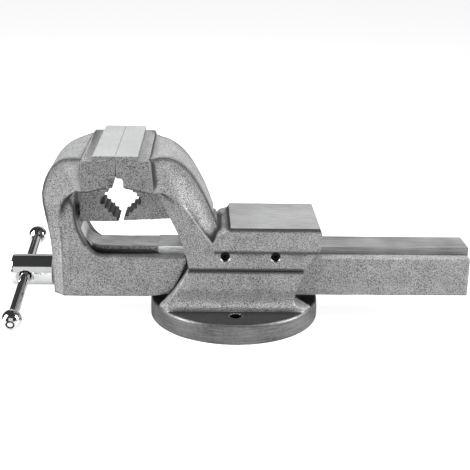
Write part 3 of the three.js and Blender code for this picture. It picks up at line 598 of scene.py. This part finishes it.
def buildFixedJaw():
    piece = copyOfNode("fixed_jaw", "fixedJawForging")
    seam = head["seam"] + head["gap"] / 2
    half = head["width"] / 2
    anvil = {"start": -6.2, "end": 88.1, "top": 113.7, "half": 47.6}
    combine(piece, box("stock", (seam - 4, head["fixedShoulder"]), (-half, half), (180, 201)), "UNION")
    stock = box("anvilStock", (anvil["start"], anvil["end"]), (-anvil["half"], anvil["half"]), (104, 119))
    combine(piece, stock, "UNION")
    softenForging(piece, "fixed_jaw", forging["voxel"], forging["rounds"], forging["unevenness"])
    step = head["seam"] + head["strip"]
    above = [(step, head["top"]), (step, head["shoulder"]), (-40, head["shoulder"]), (-40, 260),
             (-200, 260), (-200, head["top"])]
    combine(piece, prism("topCut", above, "Y", -120, 120), "DIFFERENCE")
    combine(piece, box("seamCut", (seam - 30, seam), (-120, 120), (100, 240)), "DIFFERENCE")
    combine(piece, box("anvilCut", (-24, 140), (-90, 90), (anvil["top"], 140)), "DIFFERENCE")
    ways = {"xs": (-11.5, 42), "z": 81.0, "bore": 4.4, "rim": 5.7, "depth": 24}
    for x in ways["xs"]:
        way = [(0, -3), (ways["rim"] + 2.2, -2.2), (ways["rim"], 0), (ways["bore"], 1.9),
               (ways["bore"], ways["depth"]), (0, ways["depth"])]
        combine(piece, lathe("screwWay", way, (x, -46.5, ways["z"]), (0, 1, 0), 48), "DIFFERENCE")
    giveFinish(piece, bodyEnamel)
    centres, normals = faceFacts(piece.data)
    giveFinish(piece, jawSteel, (normals[:, 2] > 0.99) & (centres[:, 2] > head["top"] - 0.5))
    giveFinish(piece, anvilSteel, (normals[:, 2] > 0.99) & (np.abs(centres[:, 2] - anvil["top"]) < 0.1)
               & (centres[:, 0] > anvil["start"] - 6))
    giveFinish(piece, jawSteel, (normals[:, 0] < -0.99) & (np.abs(centres[:, 0] - seam) < 0.1))
    for x in ways["xs"]:
        off = np.hypot(centres[:, 0] - x, centres[:, 2] - ways["z"])
        giveFinish(piece, bareSteel, (off < ways["rim"] - 0.2) & (off > ways["bore"] + 0.1)
                   & (centres[:, 1] < -43) & (normals[:, 1] > -0.97))
        # the bores in black oxide: painted shade inside the set-screw holes
        giveFinish(piece, blackOxide, (off < ways["bore"] + 0.1) & (centres[:, 1] < -20))
    markEdges(piece)
    # the arm's back edge; painted shade darkens it and the coves, creases and groove walls below
    back = [(-95, 69, 190.3), (-84, 57, 189.2), (-74.4, 48, 188.2), (-61.8, 40, 182.5),
            (-48, 33.5, 168.6), (-34, 29, 144.3), (-24.1, 23, 120.7), (-19, 22, 108)]
    wide = anvil["half"] - 0.5
    under = anvil["top"] - 1.3
    runs = bothSides([
        (back, 2.9, 1.0), (back[:4], 7.0, 0.35), (back[3:], 10.0, 0.5),
        ([(-119, 75, 176), (-93, 75, 176)], 24.0, 0.3),  # the head's end, a shade darker
        ([(-88, 62, 188), (-87.2, 60.2, 180), (-86.5, 58.9, 170), (-85.9, 58.1, 164),
          (-89, 61.5, 157.5)], 5.0, 1.0),  # painted shade in the cove between the head and the arm
        ([(-91, 74.8, 157.4), (-98, 74.8, 159), (-106, 74.8, 160.8), (-113, 74.8, 162.5)],
         2.0, 0.95),  # painted shade along the head's lower edge
        # painted shadow under the anvil's top edge
        ([(anvil["start"], wide, under), (anvil["end"], wide, under)], 2.8, 1.0),
        ([(-22, wide, 86.4), (86.5, wide, 86.4)], 2.0, 0.85),  # painted shade in the crease above the set screws
        ([(-50, 46.3, 66), (71, 46.3, 66)], 2.6, 1.0)])  # painted shade along the seam over the foot
    # painted shade on both walls of the groove between the arm and the anvil
    runs += [([(-17, -32, 106.8), (-17, 32, 106.8)], 1.8, 0.9),
             ([(-7, -46, 110.5), (-7, 46, 110.5)], 1.6, 0.9)]
    markLines(piece, runs)
    finishShape(piece)
    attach(piece, "body")
    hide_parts("fixed_jaw")


def buildBase():
    foot = {"radius": 92.6, "top": 22.2, "hole": 6.6, "bolt": 65.3}
    piece = copyOfNode("base", "footForging")
    softenForging(piece, "base", forging["voxel"], forging["rounds"], forging["unevenness"] * 0.6)
    giveFinish(piece, bodyEnamel)
    centres, normals = faceFacts(piece.data)
    reach = np.hypot(centres[:, 0], centres[:, 1])
    giveFinish(piece, rimEnamel, (reach > foot["radius"] - 4.5) & (centres[:, 2] < foot["top"] + 0.2))
    bolt = foot["bolt"]
    for x, y in ((0, -bolt), (0, bolt), (-bolt, 0), (bolt, 0)):
        inHole = np.hypot(centres[:, 0] - x, centres[:, 1] - y) < foot["hole"] + 0.2
        # the hole walls in black oxide: painted shade inside the bolt holes
        giveFinish(piece, blackOxide, inHole & (np.abs(normals[:, 2]) < 0.75))
    # painted shadow on the foot's top
    giveFinish(piece, shadowDiscEnamel, (normals[:, 2] > 0.8) & (np.abs(centres[:, 2] - foot["top"]) < 0.8)
               & (reach < foot["radius"] - 2.2))
    markEdges(piece, coveShare=0.35)
    markLines(piece, bothSides([([(-50, 46.3, 65), (71, 46.3, 65)], 2.4, 1.0),  # painted shade along the seam
                                ([(-56, 49, 38), (76, 49, 38)], 6.0, 0.3)]))  # shade over the flare
    finishShape(piece)
    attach(piece, "body")
    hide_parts("base")


buildMovingJaw()
print("moving jaw done")
buildFixedJaw()
print("fixed jaw done")
buildBase()
print("foot done")


# finer than the big forgings, so that the teeth stay crisp
pipeJaw = {"voxel": 0.7, "rounds": 1, "unevenness": 0.08, "coveRounds": 20, "sharpAngle": 50}


def buildPipeJaw(node, name, body):
    piece = copyOfNode(node, name)
    softenForging(piece, node, pipeJaw["voxel"], pipeJaw["rounds"], pipeJaw["unevenness"])
    giveFinish(piece, bodyEnamel)
    markEdges(piece, pipeJaw["coveRounds"])
    finishShape(piece, pipeJaw["sharpAngle"])
    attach(piece, body)
    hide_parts(node)


buildPipeJaw("fixed_pipe_jaw", "fixedPipeJaw", "body")
buildPipeJaw("moving_pipe_jaw", "movingPipeJaw", "slide")
print("pipe jaws done")

screw = {"z": 49, "radius": 11, "headRadius": 17.2, "headEnd": -244.9, "headInner": -198.8,
         "end": 172, "pitch": 5, "neck": 12, "threadDepth": 2, "tip": 18}
handle = {"x": -229, "radius": 5.5, "tilt": math.radians(10.4), "front": 101.1, "rear": 79.5,
          "ball": 10.7, "flat": 4.6, "inBall": 4}
handleWay = Vector((0, math.cos(handle["tilt"]), math.sin(handle["tilt"])))
handleCentre = Vector((handle["x"], 0, screw["z"]))


def buildSpindle():
    # turned about its own axis, with the lengths measured from the head's outer end
    h, r, root = screw["headRadius"], screw["radius"], screw["radius"] - screw["threadDepth"]
    inner, end = screw["headInner"] - screw["headEnd"], screw["end"] - screw["headEnd"]
    thread = [(r, inner), (r, inner + screw["neck"])]
    for i in range(int((end - inner - screw["tip"]) / screw["pitch"])):
        at = inner + screw["neck"] + i * screw["pitch"]
        thread += [(r, at + 1.6), (root, at + 2.2), (root, at + 4.2), (r, at + 4.8)]
    profile = [(0, 0), (h - 3.0, 0), (h - 1.6, 0.35), (h - 0.6, 1.1), (h - 0.1, 2.2), (h, 3.4),
               (h, inner - 1), (h - 1, inner)]
    profile += thread + [(r, end - 3), (root, end), (0, end)]
    piece = lathe("spindleWithHead", profile, (screw["headEnd"], 0, screw["z"]), (1, 0, 0))
    bore = handle["radius"] + 0.4
    mouth = [(bore + 4.6, h + 1), (bore + 3.4, h - 0.9), (bore + 1.6, h - 1.9), (bore + 0.5, h - 3.2),
             (bore, h - 4.4)]
    cut = [(0, -h - 1)] + [(wide, -along) for wide, along in mouth]
    cut += [(wide, along) for wide, along in reversed(mouth)] + [(0, h + 1)]
    combine(piece, lathe("crossHole", cut, handleCentre, handleWay), "DIFFERENCE")
    giveFinish(piece, chromePlate)
    centres, _ = faceFacts(piece.data)
    giveFinish(piece, bareSteel, centres[:, 0] > screw["headInner"] + 0.1)
    finishShape(piece, 28)
    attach(piece, "screw")
    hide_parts("spindle")


def buildHandle():
    r, reach = handle["radius"], handle["ball"] - 0.03  # a hair inside the CAD ball
    low, high = -handle["front"] + handle["inBall"], handle["rear"] - handle["inBall"]
    bar = lathe("tommyBarRod", [(0, low), (r, low), (r, high), (0, high)], handleCentre, handleWay)
    giveFinish(bar, chromePlate)
    finishShape(bar)
    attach(bar, "handle")
    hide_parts("tommy_bar")
    rise = math.asin(handle["flat"] / reach)
    start = math.asin((r + 0.9) / reach)
    for name, node, side in (("frontBall", "tommy_ball_front", -1), ("rearBall", "tommy_ball_rear", 1)):
        turn = np.linspace(start, math.pi - rise, 40)
        profile = [(r + 0.05, -reach * math.cos(start) + 1.5), (r + 0.35, -reach * math.cos(start) + 0.2)]
        profile += [(reach * math.sin(t), -reach * math.cos(t)) for t in turn]
        top = reach * math.cos(rise)
        # the bar's end is riveted over in a shallow groove in the flat
        profile += [(4.2, top - 0.75), (3.1, top - 0.85), (2.9, top - 0.3), (2.2, top + 0.12),
                    (1.2, top + 0.3), (0, top + 0.35)]
        centre = handleCentre + handleWay * (handle["front"] if side < 0 else handle["rear"]) * side
        ball = lathe(name, profile, centre, handleWay * side, 72)
        giveFinish(ball, chromePlate)
        centres, _ = faceFacts(ball.data)
        out = centres - np.array(centre)
        along = out @ np.array(handleWay * side)
        off = np.linalg.norm(out - along[:, None] * np.array(handleWay * side), axis=1)
        giveFinish(ball, blackOxide, (along > 0) & (off > 2.8) & (off < 4.3))  # ring round the rivet, in black oxide as painted shade in its groove
        finishShape(ball, 24)
        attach(ball, "handle")
        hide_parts(node)


buildSpindle()
buildHandle()
print("spindle and tommy bar done")

# the hidden pieces keep their CAD shapes
plainFinish = {"spindle_nut": bronze, "front_gib": railSteel, "thrust_washer": bareSteel,
               "retaining_collar": bareSteel, "collar_pin": bareSteel}
for node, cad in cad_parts.items():
    if "screw" in node or "bolt" in node:
        plainFinish[node] = blackOxide
    if node in plainFinish:
        cad.data.materials.clear()
        cad.data.materials.append(plainFinish[node])


def buildStage():
    reach, thick = 14000, 4
    floor = box("floor", (-reach, reach), (-reach, reach), (-thick, 0))
    material, tree, shader = newMaterial("pale floor", Roughness=0.7)
    shader.inputs["Base Color"].default_value = (0.35, 0.35, 0.35, 1)
    shader.inputs["Emission Color"].default_value = (1, 1, 1, 1)
    # bright to look at, and dimmer as a light on the vise's underside
    glowSeen, glowCast = 0.9, 0.34
    seen = tree.nodes.new("ShaderNodeLightPath")
    glow = rangeNode(tree, seen.outputs["Is Camera Ray"], 0.0, 1.0, glowCast, glowSeen)
    tree.links.new(glow, shader.inputs["Emission Strength"])
    giveFinish(floor, material)


def areaLight(name, place, aim, size, power, mirrored=True):
    data = bpy.data.lights.new(name, "AREA")
    data.shape = "RECTANGLE"
    data.size, data.size_y = size
    data.energy = power
    lamp = bpy.data.objects.new(name, data)
    bpy.context.scene.collection.objects.link(lamp)
    lamp.location = place
    lamp.visible_glossy = mirrored
    lamp.rotation_euler = (Vector(aim) - Vector(place)).to_track_quat("-Z", "Y").to_euler()


def buildLight():
    # the top one isn't mirrored, so that the chrome's upper side stays dark
    middle = (0, 0, 0.1)
    areaLight("topSoftbox", (0.05, -0.05, 1.3), middle, (1.1, 0.7), 38, mirrored=False)
    areaLight("rightSoftbox", (1.3, -0.26, 0.8), middle, (0.6, 1.1), 34)
    areaLight("leftSoftbox", (-1.3, -0.36, 0.65), middle, (0.6, 1.1), 34)
    areaLight("frontFill", (-0.2, -1.9, 0.7), middle, (1.6, 1.3), 6)
    areaLight("backSoftbox", (0.1, 1.5, 0.75), middle, (1.8, 0.7), 2.5)
    world = bpy.data.worlds.new("studio")
    world.use_nodes = True
    tree = world.node_tree
    back = tree.nodes["Background"]
    seen = tree.nodes.new("ShaderNodeLightPath")
    tint = mixColour(tree, seen.outputs["Is Camera Ray"], (0.06, 0.06, 0.062, 1), (1, 1, 1, 1))
    tree.links.new(tint, back.inputs["Color"])
    back.inputs["Strength"].default_value = 1
    bpy.context.scene.world = world


def buildCamera():
    shot = {"place": (-0.03665, -1.04047, 0.42968), "forward": (0.0334, 0.9503, -0.3095),
            "up": (-0.00847, 0.30993, 0.95071), "lens": 76.25}
    data = bpy.data.cameras.new("camera")
    data.lens = shot["lens"]
    data.sensor_width = 36
    data.clip_start = 0.05
    camera = bpy.data.objects.new("camera", data)
    bpy.context.scene.collection.objects.link(camera)
    forward = Vector(shot["forward"]).normalized()
    right = forward.cross(Vector(shot["up"])).normalized()
    up = right.cross(forward)
    turn = Matrix((right, up, -forward)).transposed().to_4x4()
    camera.matrix_world = Matrix.Translation(Vector(shot["place"])) @ turn
    bpy.context.scene.camera = camera


buildStage()
buildLight()
buildCamera()
bpy.context.scene.view_settings.view_transform = "Standard"
